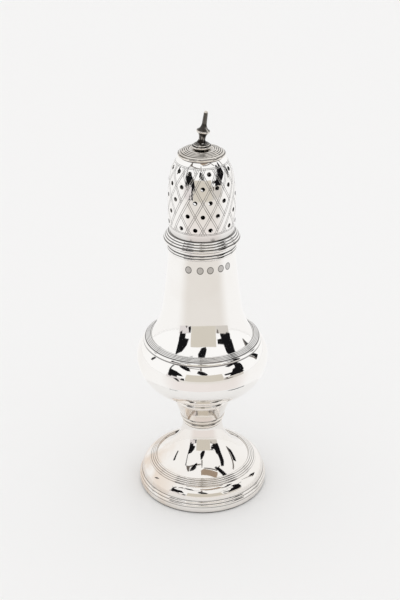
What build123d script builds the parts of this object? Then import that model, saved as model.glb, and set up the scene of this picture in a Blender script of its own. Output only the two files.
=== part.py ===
from build123d import *
from math import cos, radians, sin
import os

# A silver sugar caster: a round stepped foot, a baluster vessel and a pierced cover that lifts off.
# Millimetres, +Z up, the foot rests on Z = 0 and the turning axis is the Z axis.

# Sheet and wire
SHEET = 0.75
COVER_SHEET = 0.65
WIRE_BACK = 0.3
REED_RISE = 0.3
FINE_REED_RISE = 0.2

# Foot
RIM_RADIUS = 24.45
RIM_HEIGHT = 5.0
RIM_WIDTH = 1.8
RIM_BAND_HEIGHT = 2.65
RIM_UNDERCUT = 0.35
RIM_STEP = 0.85
SHOULDER_HEIGHT = 4.6
SHOULDER_INSET = 3.1
SHOULDER_BULGE = 0.9
STEP_WIDTH = 2.75
STEP_HEIGHT = 1.5
STEP_REEDS = 4
STEM_HEIGHT = 15.7
STEM_RADIUS = 7.45
TRUMPET_BEND_RADIUS = 11.0
TRUMPET_BEND_HEIGHT = 6.0
TRUMPET_HOLLOW = 0.41

# Stem collar and knop
STEM_COLLAR_HEIGHT = 3.6
STEM_COLLAR_REED = 1.35
STEM_COLLAR_SPREAD = 0.75
KNOP_BASE_RADIUS = 8.35
KNOP_RADIUS = 10.9
KNOP_CUP_HEIGHT = 6.8
KNOP_CUP_HOLLOW = 0.04
KNOP_SHOULDER_HEIGHT = 1.35
KNOP_TOP_RADIUS = 11.0
KNOP_COVE_HEIGHT = 0.95
KNOP_COLLAR_HEIGHT = 1.0

# Bowl
BOWL_FLOOR_RADIUS = 11.0
BOWL_RADIUS = 24.4
BELLY_HEIGHT = 14.2
BELLY_TO_SEAM = 7.6
BOWL_BEND_RADIUS = 18.4
BOWL_BEND_HEIGHT = 3.55
BOWL_BEND_BULGE = 0.42
SEAM_RADIUS = 21.6

# Neck, girdle and mouth
GIRDLE_HEIGHT = 2.4
GIRDLE_EDGE_HEIGHT = 1.4
GIRDLE_EDGE_INSET = 0.8
GIRDLE_OVERHANG = 0.1
GIRDLE_REEDS = 4
FLARE_SHOWING = 0.2
FLARE_ANGLE = 33.5
SEAM_LAP = 1.1
NECK_HEIGHT = 40.7
WAIST_RADIUS = 14.5
WAIST_HEIGHT = 11.3
MOUTH_RADIUS = 11.9
MOUTH_WIRE_HEIGHT = 3.6
MOUTH_BAND_HEIGHT = 1.65
MOUTH_REEDS = 2

# Cover
SLEEVE_CLEARANCE = 0.08
SLEEVE_SHEET = 0.6
SLEEVE_DEPTH = 9.0
COVER_RIM_WIDTH = 1.9
COVER_RIM_HEIGHT = 3.45
COVER_RIM_EDGE_HEIGHT = 1.2
COVER_RIM_REEDS = 3
DOME_SEAT_DEPTH = 1.05
DOME_RADIUS = 11.55
DOME_HEIGHT = 29.2
BARREL_RADIUS = 12.0
BARREL_HEIGHT = 10.55
BARREL_BULGE = 0.14
DOME_BEND_RADIUS = 11.37
DOME_BEND_DROP = 8.1
CROWN_RADIUS = 7.7

# Sprinkling holes
HOLE_DIAMETER = 1.6
HOLE_ROWS = 5
HOLE_COLUMNS = 3
HOLE_PANELS = 4
HOLE_TURN = 90 / 7
HOLE_FIRST_AZIMUTH = -36.8
HOLE_FIRST_HEIGHT = 5.65
HOLE_ROW_PITCH = 5.05

# Cap and finial
CAP_RADIUS = 8.05
CAP_EDGE_HEIGHT = 0.95
CAP_HEIGHT = 2.3
CAP_BAND_WIDTH = 0.85
CAP_BAND_HEIGHT = 0.45
CAP_REEDS_WIDTH = 2.7
CAP_REEDS = 4
CAP_DISH_SINK = 0.15
COLLAR_PEDESTAL_RADIUS = 2.2
COLLAR_PEDESTAL_HEIGHT = 0.55
COLLAR_RADIUS = 3.2
COLLAR_DISC_HEIGHT = 0.75
COLLAR_TOP_RADIUS = 2.65
COLLAR_TOP_HEIGHT = 0.9
COLLAR_SLOPE_HEIGHT = 0.35
COLLAR_BROW_RADIUS = 2.0
URN_FOOT_RADIUS = 1.7
URN_WAIST_RADIUS = 1.15
URN_WAIST_HEIGHT = 1.1
URN_TOP_RADIUS = 1.85
URN_HEIGHT = 3.7
URN_HOLLOW = 0.25
FLANGE_RADIUS = 2.1
FLANGE_HEIGHT = 0.9
SPIRE_BASE_RADIUS = 1.95
SPIRE_TIP_RADIUS = 0.7
SPIRE_HEIGHT = 6.85
SPIRE_BEND_RADIUS = 0.85
SPIRE_BEND_HEIGHT = 2.1
SPIRE_HOLLOW = 0.22
FINIAL_LEAN = 8.0
PEG_RADIUS = 1.0
PEG_CLEARANCE = 0.05
RIVET_RADIUS = 1.7
RIVET_HEIGHT = 0.6

# Levels, from the table up
RIM_TOP = RIM_HEIGHT
STEP_LEVEL = RIM_TOP + SHOULDER_HEIGHT
STEM_FOOT = STEP_LEVEL + STEP_HEIGHT
STEM_TOP = STEM_FOOT + STEM_HEIGHT
KNOP_BOTTOM = STEM_TOP + STEM_COLLAR_HEIGHT
CUP_TOP = KNOP_BOTTOM + KNOP_CUP_HEIGHT
COVE_BOTTOM = CUP_TOP + KNOP_SHOULDER_HEIGHT
KNOP_TOP = COVE_BOTTOM + KNOP_COVE_HEIGHT
BOWL_BOTTOM = KNOP_TOP + KNOP_COLLAR_HEIGHT
BELLY = BOWL_BOTTOM + BELLY_HEIGHT
SEAM = BELLY + BELLY_TO_SEAM
GIRDLE_TOP = SEAM + GIRDLE_HEIGHT
FLARE_TOP = GIRDLE_TOP + FLARE_SHOWING
MOUTH = SEAM + NECK_HEIGHT
MOUTH_WIRE_BOTTOM = MOUTH - MOUTH_WIRE_HEIGHT
COVER_RIM_TOP = MOUTH + COVER_RIM_HEIGHT
DOME_FOOT = COVER_RIM_TOP - DOME_SEAT_DEPTH
CROWN = DOME_FOOT + DOME_HEIGHT
CAP_TOP = CROWN + CAP_HEIGHT
COLLAR_SEAT = CAP_TOP - CAP_DISH_SINK
COLLAR_DISC = COLLAR_SEAT + COLLAR_PEDESTAL_HEIGHT
COLLAR_STEP = COLLAR_DISC + COLLAR_DISC_HEIGHT
COLLAR_TOP = COLLAR_STEP + COLLAR_TOP_HEIGHT

# Radii that follow from the others
SHOULDER_RADIUS = RIM_RADIUS - RIM_STEP
STEP_RADIUS = SHOULDER_RADIUS - SHOULDER_INSET
TRUMPET_RADIUS = STEP_RADIUS - STEP_WIDTH
NECK_FOOT_RADIUS = SEAM_RADIUS - SEAM_LAP
MOUTH_BORE_RADIUS = MOUTH_RADIUS - SHEET
SLEEVE_RADIUS = MOUTH_BORE_RADIUS - SLEEVE_CLEARANCE
COVER_RIM_RADIUS = DOME_RADIUS + COVER_RIM_WIDTH
PEG_HOLE_RADIUS = PEG_RADIUS + PEG_CLEARANCE

os.makedirs("parts", exist_ok=True)


def reeds(start, end, count, rise):
    """Equal half-round reeds along a straight line, raised to the right of the way from start to end."""
    first = Vector(*start)
    step = (Vector(*end) - first) / count
    for index in range(count):
        SagittaArc(first + step * index, first + step * (index + 1), -rise)


def raised(point, direction, distance):
    """A point moved to the right of a direction, out of the surface that runs that way."""
    way = Vector(*direction).normalized()
    return (point[0] + way.Y * distance, point[1] - way.X * distance)


# Foot rim: a wire with one broad band below and two reeds stepping in above
with BuildPart() as foot_rim_wire:
    with BuildSketch(Plane.XZ):
        with BuildLine():
            Line((RIM_RADIUS - RIM_WIDTH, 0), (RIM_RADIUS - RIM_UNDERCUT, 0))
            SagittaArc((RIM_RADIUS - RIM_UNDERCUT, 0), (RIM_RADIUS, RIM_BAND_HEIGHT), -REED_RISE)
            reeds((RIM_RADIUS, RIM_BAND_HEIGHT), (SHOULDER_RADIUS, RIM_TOP), 2, REED_RISE)
            Line((SHOULDER_RADIUS, RIM_TOP), (RIM_RADIUS - RIM_WIDTH, RIM_TOP))
            Line((RIM_RADIUS - RIM_WIDTH, RIM_TOP), (RIM_RADIUS - RIM_WIDTH, 0))
        make_face()
    revolve(axis=Axis.Z)
foot_rim_wire.part.label = "foot_rim_wire"
export_step(foot_rim_wire.part, "parts/foot_rim_wire.step")

# Foot shell: one sheet, from the rounded shoulder over the step and up the trumpet to the stem
with BuildPart() as foot_shell:
    with BuildSketch(Plane.XZ):
        with BuildLine():
            Line((SHOULDER_RADIUS, RIM_TOP - SHEET), (SHOULDER_RADIUS, RIM_TOP))
            SagittaArc((SHOULDER_RADIUS, RIM_TOP), (STEP_RADIUS, STEP_LEVEL), -SHOULDER_BULGE)
            Line((STEP_RADIUS, STEP_LEVEL), (TRUMPET_RADIUS, STEM_FOOT))
            bend = (TRUMPET_BEND_RADIUS, STEM_FOOT + TRUMPET_BEND_HEIGHT)
            spread = SagittaArc((TRUMPET_RADIUS, STEM_FOOT), bend, TRUMPET_HOLLOW)
            TangentArc(bend, (STEM_RADIUS, STEM_TOP), tangent=spread % 1)
            Line((STEM_RADIUS, STEM_TOP), (STEM_RADIUS, STEM_TOP + SHEET))
            offset(amount=SHEET, side=Side.LEFT)
        make_face()
    revolve(axis=Axis.Z)
    split(bisect_by=Plane.XY.offset(RIM_TOP), keep=Keep.TOP)
    split(bisect_by=Plane.XY.offset(STEM_TOP), keep=Keep.BOTTOM)
foot_shell.part.label = "foot_shell"
export_step(foot_shell.part, "parts/foot_shell.step")

# Band of fine reeds on the step of the foot shell
STEP_RUN = (TRUMPET_RADIUS - STEP_RADIUS, STEP_HEIGHT)
with BuildPart() as foot_reeded_wire:
    with BuildSketch(Plane.XZ):
        with BuildLine():
            step_low = raised((STEP_RADIUS, STEP_LEVEL), STEP_RUN, WIRE_BACK)
            step_high = raised((TRUMPET_RADIUS, STEM_FOOT), STEP_RUN, WIRE_BACK)
            Line((STEP_RADIUS, STEP_LEVEL), step_low)
            reeds(step_low, step_high, STEP_REEDS, FINE_REED_RISE)
            Line(step_high, (TRUMPET_RADIUS, STEM_FOOT))
            Line((TRUMPET_RADIUS, STEM_FOOT), (STEP_RADIUS, STEP_LEVEL))
        make_face()
    revolve(axis=Axis.Z)
foot_reeded_wire.part.label = "foot_reeded_wire"
export_step(foot_reeded_wire.part, "parts/foot_reeded_wire.step")

# Stem collar: a turned ring with a reed at each end and a slope between them
with BuildPart() as stem_collar:
    with BuildSketch(Plane.XZ):
        with BuildLine():
            bore = STEM_RADIUS - SHEET
            spread = STEM_RADIUS + STEM_COLLAR_SPREAD
            Line((bore, STEM_TOP), (STEM_RADIUS, STEM_TOP))
            reeds((STEM_RADIUS, STEM_TOP), (STEM_RADIUS, STEM_TOP + STEM_COLLAR_REED), 1, REED_RISE)
            Line((STEM_RADIUS, STEM_TOP + STEM_COLLAR_REED), (spread, KNOP_BOTTOM - STEM_COLLAR_REED))
            reeds((spread, KNOP_BOTTOM - STEM_COLLAR_REED), (spread, KNOP_BOTTOM), 1, REED_RISE)
            Line((spread, KNOP_BOTTOM), (bore, KNOP_BOTTOM))
            Line((bore, KNOP_BOTTOM), (bore, STEM_TOP))
        make_face()
    revolve(axis=Axis.Z)
stem_collar.part.label = "stem_collar"
export_step(stem_collar.part, "parts/stem_collar.step")

# Knop: a cup that opens upwards, with a reed and a small cove round its top
with BuildPart() as knop:
    with BuildSketch(Plane.XZ):
        with BuildLine():
            Line((KNOP_BASE_RADIUS, KNOP_BOTTOM - SHEET), (KNOP_BASE_RADIUS, KNOP_BOTTOM))
            SagittaArc((KNOP_BASE_RADIUS, KNOP_BOTTOM), (KNOP_RADIUS, CUP_TOP), KNOP_CUP_HOLLOW)
            SagittaArc((KNOP_RADIUS, CUP_TOP), (KNOP_TOP_RADIUS, COVE_BOTTOM), -REED_RISE)
            SagittaArc((KNOP_TOP_RADIUS, COVE_BOTTOM), (KNOP_TOP_RADIUS, KNOP_TOP), FINE_REED_RISE)
            Line((KNOP_TOP_RADIUS, KNOP_TOP), (KNOP_TOP_RADIUS, KNOP_TOP + SHEET))
            offset(amount=SHEET, side=Side.LEFT)
        make_face()
    revolve(axis=Axis.Z)
    split(bisect_by=Plane.XY.offset(KNOP_BOTTOM), keep=Keep.TOP)
    split(bisect_by=Plane.XY.offset(KNOP_TOP), keep=Keep.BOTTOM)
knop.part.label = "knop"
export_step(knop.part, "parts/knop.step")

# Knop collar: one reed between the knop and the floor of the bowl
with BuildPart() as knop_collar:
    with BuildSketch(Plane.XZ):
        with BuildLine():
            bore = KNOP_TOP_RADIUS - SHEET
            Line((bore, KNOP_TOP), (KNOP_TOP_RADIUS, KNOP_TOP))
            reeds((KNOP_TOP_RADIUS, KNOP_TOP), (KNOP_TOP_RADIUS, BOWL_BOTTOM), 1, REED_RISE)
            Line((KNOP_TOP_RADIUS, BOWL_BOTTOM), (bore, BOWL_BOTTOM))
            Line((bore, BOWL_BOTTOM), (bore, KNOP_TOP))
        make_face()
    revolve(axis=Axis.Z)
knop_collar.part.label = "knop_collar"
export_step(knop_collar.part, "parts/knop_collar.step")

# Bowl: a closed floor, a full belly and a shoulder that turns in to the seam
with BuildPart() as bowl:
    with BuildSketch(Plane.XZ):
        with BuildLine():
            Line((0, BOWL_BOTTOM), (BOWL_FLOOR_RADIUS, BOWL_BOTTOM))
            bend = (BOWL_BEND_RADIUS, BOWL_BOTTOM + BOWL_BEND_HEIGHT)
            underside = SagittaArc((BOWL_FLOOR_RADIUS, BOWL_BOTTOM), bend, -BOWL_BEND_BULGE)
            belly = TangentArc(bend, (BOWL_RADIUS, BELLY), tangent=underside % 1)
            shoulder = TangentArc((BOWL_RADIUS, BELLY), (SEAM_RADIUS, SEAM), tangent=belly % 1)
            Line(shoulder @ 1, shoulder @ 1 + (shoulder % 1) * 2 * SHEET)
            offset(amount=SHEET, side=Side.LEFT)
        make_face()
    revolve(axis=Axis.Z)
    split(bisect_by=Plane.XY.offset(SEAM), keep=Keep.BOTTOM)
bowl.part.label = "bowl"
export_step(bowl.part, "parts/bowl.step")

# Neck: a straight flare on the seam, a long waist and an upright collar at the mouth
FLARE_WAY = (-sin(radians(FLARE_ANGLE)), cos(radians(FLARE_ANGLE)))


def on_flare(level):
    """The point of the neck's straight flare at a level."""
    rise = level - SEAM
    return (NECK_FOOT_RADIUS + rise * FLARE_WAY[0] / FLARE_WAY[1], level)


with BuildPart() as neck:
    with BuildSketch(Plane.XZ):
        with BuildLine():
            waist = (WAIST_RADIUS, FLARE_TOP + WAIST_HEIGHT)
            flare = Line(on_flare(SEAM - 2 * SHEET), on_flare(FLARE_TOP))
            hollow = TangentArc(on_flare(FLARE_TOP), waist, tangent=flare % 1)
            TangentArc(waist, (MOUTH_RADIUS, MOUTH_WIRE_BOTTOM), tangent=hollow % 1)
            Line((MOUTH_RADIUS, MOUTH_WIRE_BOTTOM), (MOUTH_RADIUS, MOUTH))
            offset(amount=SHEET, side=Side.LEFT)
        make_face()
    revolve(axis=Axis.Z)
    split(bisect_by=Plane.XY.offset(SEAM), keep=Keep.TOP)
neck.part.label = "neck"
export_step(neck.part, "parts/neck.step")

# Girdle: a wire over the seam, one broad reed at its edge and fine reeds up the flare
with BuildPart() as girdle_wire:
    with BuildSketch(Plane.XZ):
        with BuildLine():
            edge_radius = SEAM_RADIUS + GIRDLE_OVERHANG
            edge_top = (edge_radius - GIRDLE_EDGE_INSET, SEAM + GIRDLE_EDGE_HEIGHT)
            girdle_end = raised(on_flare(GIRDLE_TOP), FLARE_WAY, WIRE_BACK)
            Line((NECK_FOOT_RADIUS, SEAM), (edge_radius, SEAM))
            reeds((edge_radius, SEAM), edge_top, 1, REED_RISE)
            reeds(edge_top, girdle_end, GIRDLE_REEDS, FINE_REED_RISE / 2)
            Line(girdle_end, on_flare(GIRDLE_TOP))
            Line(on_flare(GIRDLE_TOP), (NECK_FOOT_RADIUS, SEAM))
        make_face()
    revolve(axis=Axis.Z)
girdle_wire.part.label = "girdle_wire"
export_step(girdle_wire.part, "parts/girdle_wire.step")

# Mouth wire: two reeds below a plain band, flush with the top of the neck
with BuildPart() as mouth_wire:
    with BuildSketch(Plane.XZ):
        with BuildLine():
            valley = MOUTH_RADIUS + WIRE_BACK
            band_bottom = MOUTH - MOUTH_BAND_HEIGHT
            Line((MOUTH_RADIUS, MOUTH_WIRE_BOTTOM), (valley, MOUTH_WIRE_BOTTOM))
            reeds((valley, MOUTH_WIRE_BOTTOM), (valley, band_bottom), MOUTH_REEDS, REED_RISE)
            reeds((valley, band_bottom), (valley, MOUTH), 1, REED_RISE)
            Line((valley, MOUTH), (MOUTH_RADIUS, MOUTH))
            Line((MOUTH_RADIUS, MOUTH), (MOUTH_RADIUS, MOUTH_WIRE_BOTTOM))
        make_face()
    revolve(axis=Axis.Z)
mouth_wire.part.label = "mouth_wire"
export_step(mouth_wire.part, "parts/mouth_wire.step")

# Cover sleeve: the plain tube that slides into the mouth
with BuildPart() as cover_sleeve:
    with BuildSketch(Plane.XY.offset(MOUTH - SLEEVE_DEPTH)):
        Circle(SLEEVE_RADIUS)
        Circle(SLEEVE_RADIUS - SLEEVE_SHEET, mode=Mode.SUBTRACT)
    extrude(amount=SLEEVE_DEPTH + COVER_RIM_HEIGHT - DOME_SEAT_DEPTH)
cover_sleeve.part.label = "cover_sleeve"
export_step(cover_sleeve.part, "parts/cover_sleeve.step")

# Cover rim: a ring of reeds that rests on the mouth and holds the foot of the dome in a recess
with BuildPart() as cover_rim_wire:
    with BuildSketch(Plane.XZ):
        with BuildLine():
            edge_top = (COVER_RIM_RADIUS, MOUTH + COVER_RIM_EDGE_HEIGHT)
            rim_end = (DOME_RADIUS + WIRE_BACK, COVER_RIM_TOP)
            Line((SLEEVE_RADIUS, MOUTH), (COVER_RIM_RADIUS, MOUTH))
            reeds((COVER_RIM_RADIUS, MOUTH), edge_top, 1, REED_RISE)
            reeds(edge_top, rim_end, COVER_RIM_REEDS, FINE_REED_RISE)
            Line(rim_end, (DOME_RADIUS, COVER_RIM_TOP))
            Line((DOME_RADIUS, COVER_RIM_TOP), (DOME_RADIUS, DOME_FOOT))
            Line((DOME_RADIUS, DOME_FOOT), (SLEEVE_RADIUS, DOME_FOOT))
            Line((SLEEVE_RADIUS, DOME_FOOT), (SLEEVE_RADIUS, MOUTH))
        make_face()
    revolve(axis=Axis.Z)
cover_rim_wire.part.label = "cover_rim_wire"
export_step(cover_rim_wire.part, "parts/cover_rim_wire.step")

# Cover dome: an upright foot, a barrel side pierced with sprinkling holes, and a flat crown
with BuildPart() as cover_dome:
    with BuildSketch(Plane.XZ):
        with BuildLine():
            barrel = (BARREL_RADIUS, COVER_RIM_TOP + BARREL_HEIGHT)
            bend = (DOME_BEND_RADIUS, CROWN - DOME_BEND_DROP)
            Line((DOME_RADIUS, DOME_FOOT), (DOME_RADIUS, COVER_RIM_TOP))
            lower = SagittaArc((DOME_RADIUS, COVER_RIM_TOP), barrel, -BARREL_BULGE)
            middle = TangentArc(barrel, bend, tangent=lower % 1)
            upper = TangentArc(bend, (CROWN_RADIUS, CROWN), tangent=middle % 1)
            side = Wire([lower, middle, upper])
            Line((CROWN_RADIUS, CROWN), (0, CROWN))
            offset(amount=COVER_SHEET, side=Side.LEFT)
        make_face()
    revolve(axis=Axis.Z)
    with Locations((0, 0, CROWN)):
        Hole(PEG_HOLE_RADIUS, depth=2 * COVER_SHEET)
    for row in range(HOLE_ROWS):
        along = HOLE_FIRST_HEIGHT - DOME_SEAT_DEPTH + row * HOLE_ROW_PITCH
        spot = side.position_at(along, position_mode=PositionMode.LENGTH)
        way = side.tangent_at(along, position_mode=PositionMode.LENGTH)
        for column in range(HOLE_COLUMNS * HOLE_PANELS):
            panel, place = divmod(column, HOLE_COLUMNS)
            azimuth = HOLE_FIRST_AZIMUTH + 360 / HOLE_PANELS * panel + HOLE_TURN * (2 * place + row)
            out = Vector(sin(radians(azimuth)), -cos(radians(azimuth)), 0)
            centre = out * spot.X + Vector(0, 0, spot.Y)
            normal = out * way.Y - Vector(0, 0, way.X)
            with Locations(Plane(origin=centre, z_dir=normal)):
                Cylinder(HOLE_DIAMETER / 2, 4 * COVER_SHEET, mode=Mode.SUBTRACT)
cover_dome.part.label = "cover_dome"
export_step(cover_dome.part, "parts/cover_dome.step")

# Cap: a moulded disc on the crown, with a round edge, a plain band, fine reeds and a dished middle
with BuildPart() as cover_cap:
    with BuildSketch(Plane.XZ):
        with BuildLine():
            cap_edge = (CAP_RADIUS, CROWN + CAP_EDGE_HEIGHT)
            cap_band = (CAP_RADIUS - CAP_BAND_WIDTH, cap_edge[1] + CAP_BAND_HEIGHT)
            cap_brow = (cap_band[0] - CAP_REEDS_WIDTH, CAP_TOP)
            Line((PEG_HOLE_RADIUS, CROWN), (CAP_RADIUS, CROWN))
            reeds((CAP_RADIUS, CROWN), cap_edge, 1, REED_RISE)
            Line(cap_edge, cap_band)
            reeds(cap_band, cap_brow, CAP_REEDS, FINE_REED_RISE / 2)
            SagittaArc(cap_brow, (COLLAR_PEDESTAL_RADIUS, COLLAR_SEAT), FINE_REED_RISE)
            Line((COLLAR_PEDESTAL_RADIUS, COLLAR_SEAT), (PEG_HOLE_RADIUS, COLLAR_SEAT))
            Line((PEG_HOLE_RADIUS, COLLAR_SEAT), (PEG_HOLE_RADIUS, CROWN))
        make_face()
    revolve(axis=Axis.Z)
cover_cap.part.label = "cover_cap"
export_step(cover_cap.part, "parts/cover_cap.step")

# Finial collar: a pedestal and two stepped discs with round edges, the upper one sloping up to the finial
with BuildPart() as finial_collar:
    with BuildSketch(Plane.XZ):
        with BuildLine():
            Line((PEG_HOLE_RADIUS, COLLAR_SEAT), (COLLAR_PEDESTAL_RADIUS, COLLAR_SEAT))
            Line((COLLAR_PEDESTAL_RADIUS, COLLAR_SEAT), (COLLAR_PEDESTAL_RADIUS, COLLAR_DISC))
            Line((COLLAR_PEDESTAL_RADIUS, COLLAR_DISC), (COLLAR_RADIUS, COLLAR_DISC))
            reeds((COLLAR_RADIUS, COLLAR_DISC), (COLLAR_RADIUS, COLLAR_STEP), 1, REED_RISE)
            Line((COLLAR_RADIUS, COLLAR_STEP), (COLLAR_TOP_RADIUS, COLLAR_STEP))
            slope_foot = (COLLAR_TOP_RADIUS, COLLAR_TOP - COLLAR_SLOPE_HEIGHT)
            reeds((COLLAR_TOP_RADIUS, COLLAR_STEP), slope_foot, 1, FINE_REED_RISE)
            Line(slope_foot, (COLLAR_BROW_RADIUS, COLLAR_TOP))
            Line((COLLAR_BROW_RADIUS, COLLAR_TOP), (PEG_HOLE_RADIUS, COLLAR_TOP))
            Line((PEG_HOLE_RADIUS, COLLAR_TOP), (PEG_HOLE_RADIUS, COLLAR_SEAT))
        make_face()
    revolve(axis=Axis.Z)
finial_collar.part.label = "finial_collar"
export_step(finial_collar.part, "parts/finial_collar.step")

# Finial: an urn, a flange and a spire, leaning a little, on an upright peg riveted under the crown
LEAN = radians(FINIAL_LEAN)
FINIAL_AXIS = Axis((0, 0, COLLAR_TOP), (sin(LEAN), 0, cos(LEAN)))
FINIAL_PLANE = Plane(origin=(0, 0, COLLAR_TOP), x_dir=(cos(LEAN), 0, -sin(LEAN)), z_dir=(0, -1, 0))
FLANGE_TOP = URN_HEIGHT + FLANGE_HEIGHT
SPIRE_TOP = FLANGE_TOP + SPIRE_HEIGHT
with BuildPart() as finial:
    with BuildSketch(FINIAL_PLANE):
        with BuildLine():
            Line((0, -URN_WAIST_HEIGHT), (URN_FOOT_RADIUS, -URN_WAIST_HEIGHT))
            Line((URN_FOOT_RADIUS, -URN_WAIST_HEIGHT), (URN_FOOT_RADIUS, 0))
            Line((URN_FOOT_RADIUS, 0), (URN_WAIST_RADIUS, URN_WAIST_HEIGHT))
            SagittaArc((URN_WAIST_RADIUS, URN_WAIST_HEIGHT), (URN_TOP_RADIUS, URN_HEIGHT), URN_HOLLOW)
            Line((URN_TOP_RADIUS, URN_HEIGHT), (FLANGE_RADIUS, URN_HEIGHT))
            reeds((FLANGE_RADIUS, URN_HEIGHT), (FLANGE_RADIUS, FLANGE_TOP), 1, REED_RISE)
            Line((FLANGE_RADIUS, FLANGE_TOP), (SPIRE_BASE_RADIUS, FLANGE_TOP))
            spire_bend = (SPIRE_BEND_RADIUS, FLANGE_TOP + SPIRE_BEND_HEIGHT)
            spire_neck = (SPIRE_TIP_RADIUS, SPIRE_TOP - SPIRE_TIP_RADIUS)
            SagittaArc((SPIRE_BASE_RADIUS, FLANGE_TOP), spire_bend, SPIRE_HOLLOW)
            Line(spire_bend, spire_neck)
            tip = SPIRE_TIP_RADIUS * sin(radians(45))
            ThreePointArc(spire_neck, (tip, spire_neck[1] + tip), (0, SPIRE_TOP))
            Line((0, SPIRE_TOP), (0, -URN_WAIST_HEIGHT))
        make_face()
    revolve(axis=FINIAL_AXIS)
    split(bisect_by=Plane.XY.offset(COLLAR_TOP), keep=Keep.TOP)
    with BuildSketch(Plane.XZ):
        with BuildLine():
            crown_inside = CROWN - COVER_SHEET
            Line((0, COLLAR_TOP), (PEG_RADIUS, COLLAR_TOP))
            Line((PEG_RADIUS, COLLAR_TOP), (PEG_RADIUS, crown_inside))
            Line((PEG_RADIUS, crown_inside), (RIVET_RADIUS, crown_inside))
            RadiusArc(
                (RIVET_RADIUS, crown_inside),
                (0, crown_inside - RIVET_HEIGHT),
                (RIVET_RADIUS**2 + RIVET_HEIGHT**2) / (2 * RIVET_HEIGHT),
            )
            Line((0, crown_inside - RIVET_HEIGHT), (0, COLLAR_TOP))
        make_face()
    revolve(axis=Axis.Z)
finial.part.label = "finial"
export_step(finial.part, "parts/finial.step")
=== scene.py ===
import bpy
import math
from mathutils import Matrix, Vector, kdtree


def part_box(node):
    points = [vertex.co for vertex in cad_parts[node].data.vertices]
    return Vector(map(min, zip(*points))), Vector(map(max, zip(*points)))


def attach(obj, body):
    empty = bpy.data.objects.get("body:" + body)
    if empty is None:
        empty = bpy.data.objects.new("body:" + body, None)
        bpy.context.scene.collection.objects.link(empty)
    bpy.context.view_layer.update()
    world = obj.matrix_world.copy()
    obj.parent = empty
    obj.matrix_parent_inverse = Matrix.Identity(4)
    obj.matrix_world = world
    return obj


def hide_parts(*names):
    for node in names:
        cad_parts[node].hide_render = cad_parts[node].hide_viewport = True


# A silver sugar caster: a turned baluster vessel on a round foot, with a pierced and engraved cover.
# Metres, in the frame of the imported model. A section is drawn as (radius, height) points.

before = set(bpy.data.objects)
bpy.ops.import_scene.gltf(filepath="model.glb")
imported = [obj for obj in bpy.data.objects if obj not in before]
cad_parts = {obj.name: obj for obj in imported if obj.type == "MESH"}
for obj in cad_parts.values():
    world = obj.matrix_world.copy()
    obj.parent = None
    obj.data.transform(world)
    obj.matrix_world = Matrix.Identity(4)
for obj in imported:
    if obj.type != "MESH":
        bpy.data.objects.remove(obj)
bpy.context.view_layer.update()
MM = 0.001

# Sheet and reeds
SHEET = 0.75 * MM
COVER_SHEET = 0.65 * MM
WIRE_BACK = 0.3 * MM
REED_RISE = 0.3 * MM
FINE_REED_RISE = 0.2 * MM

# Foot
RIM_RADIUS = 24.45 * MM
RIM_WIDTH = 1.8 * MM
RIM_BAND = 2.65 * MM
RIM_UNDERCUT = 0.35 * MM
SHOULDER_RADIUS = 23.6 * MM
SHOULDER_BULGE = 0.9 * MM
STEP_RADIUS = 20.5 * MM
STEP_REEDS = 4
TRUMPET_RADIUS = 17.75 * MM
TRUMPET_BEND = (11.0 * MM, 6.0 * MM)
TRUMPET_HOLLOW = 0.41 * MM
STEM_RADIUS = 7.45 * MM

# Stem collar and knop
STEM_REED = 1.35 * MM
STEM_SPREAD = 0.75 * MM
KNOP_BASE_RADIUS = 8.35 * MM
KNOP_RADIUS = 10.9 * MM
KNOP_TOP_RADIUS = 11.0 * MM
KNOP_CUP_HEIGHT = 6.8 * MM
KNOP_CUP_HOLLOW = 0.04 * MM
KNOP_COVE_HEIGHT = 0.95 * MM

# Bowl and neck
BOWL_FLOOR_RADIUS = 11.0 * MM
BOWL_RADIUS = 24.4 * MM
BELLY_HEIGHT = 14.2 * MM
BOWL_BEND = (18.4 * MM, 3.55 * MM)
BOWL_BEND_BULGE = 0.42 * MM
SEAM_RADIUS = 21.6 * MM
NECK_FOOT_RADIUS = 20.5 * MM
FLARE_ANGLE = math.radians(33.5)
FLARE_SHOWING = 0.2 * MM
GIRDLE_OVERHANG = 0.1 * MM
GIRDLE_EDGE = (0.8 * MM, 1.4 * MM)
GIRDLE_HEIGHT = 2.4 * MM
GIRDLE_REEDS = 4
WAIST = (14.5 * MM, 11.3 * MM)
MOUTH_RADIUS = 11.9 * MM
MOUTH_BAND = 1.65 * MM
MOUTH_REEDS = 2

# Cover
SLEEVE_CLEARANCE = 0.08 * MM
SLEEVE_SHEET = 0.6 * MM
COVER_RIM_WIDTH = 1.9 * MM
COVER_RIM_EDGE = 1.2 * MM
COVER_RIM_REEDS = 3
DOME_RADIUS = 11.55 * MM
BARREL = (12.0 * MM, 10.55 * MM)
BARREL_BULGE = 0.14 * MM
BARREL_STEPS = 40
DOME_BEND = (11.37 * MM, 8.1 * MM)
CROWN_RADIUS = 7.7 * MM
PEG_RADIUS = 1.0 * MM
PEG_HOLE_RADIUS = 1.05 * MM

# Pierced and engraved lattice: a column is one step round, a row is one step up
HOLE_RADIUS = 0.8 * MM
HOLE_ROWS = 5
HOLE_COLUMNS = 3
PANELS = 4
PANEL_STEPS = 7
COLUMN_STEP = math.radians(360 / (PANELS * PANEL_STEPS))
FIRST_AZIMUTH = math.radians(-36.8)
FIRST_ROW = 4.6 * MM
ROW_PITCH = 5.05 * MM
LOWER_BORDER = -0.345
UPPER_BORDER = 4.37

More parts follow.
